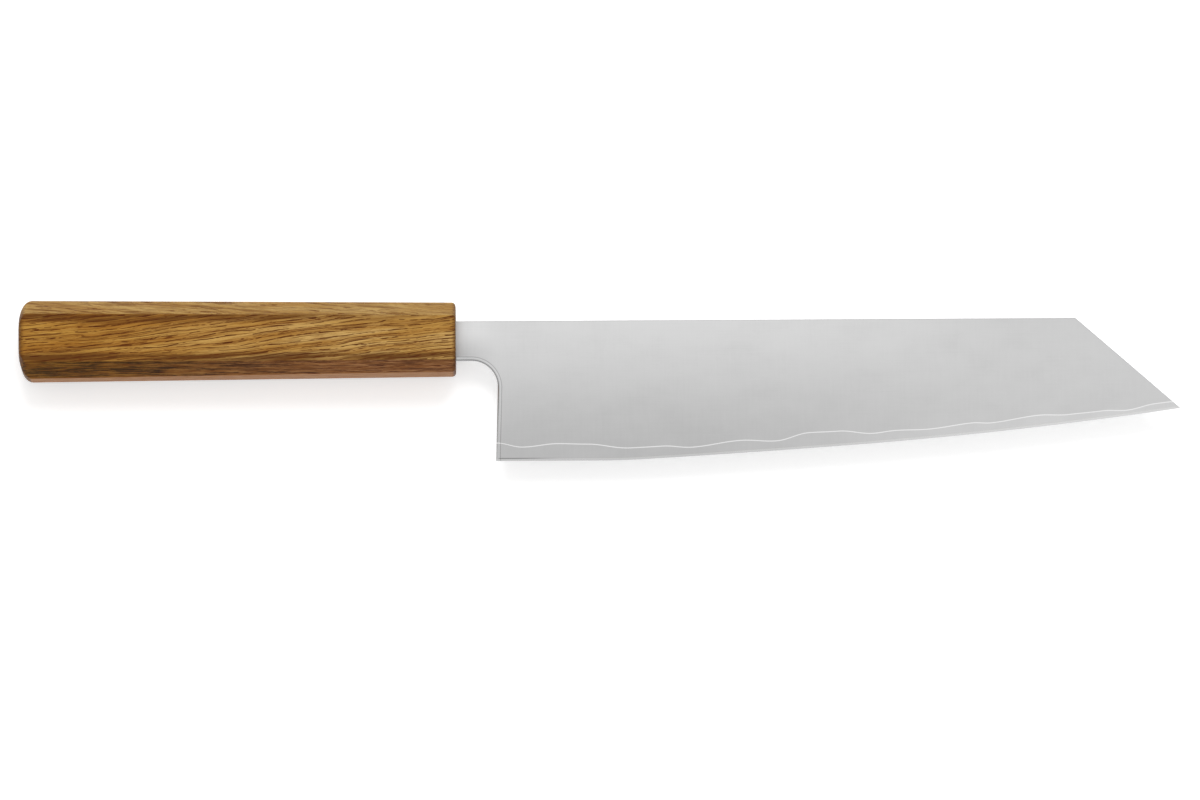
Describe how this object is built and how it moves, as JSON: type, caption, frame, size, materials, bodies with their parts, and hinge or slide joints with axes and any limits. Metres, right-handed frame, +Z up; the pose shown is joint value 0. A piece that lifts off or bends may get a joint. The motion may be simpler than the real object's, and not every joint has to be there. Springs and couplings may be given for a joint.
{
  "type": "kitchen knife",
  "caption": "Kitchen knife with a tall layered steel blade, a clipped pointed tip and an eight-sided wooden handle, lying on its side.",
  "frame": {"origin": "on the table, under the middle of the knife's box, as it lies on its left side", "axes": "+X from the handle to the tip, +Y to the spine, +Z up from the table, out of the blade's right face"},
  "size_m": [0.3562, 0.0498, 0.021],
  "materials": {
    "burnt_wood": "open-grained, lightly burnt and brushed, oiled",
    "adhesive": "cured resin",
    "core_steel": "fine satin with a polished edge bevel",
    "bond_metal": "bright satin",
    "satin_cladding": "fine satin, polished at neck and heel"
  },
  "bodies": {
    "root": {"handle": "burnt_wood", "tang_adhesive": "adhesive", "core_steel": "core_steel", "right_bond_layer": "bond_metal", "left_bond_layer": "bond_metal", "right_cladding": "satin_cladding", "left_cladding": "satin_cladding"}
  },
  "joints": []
}
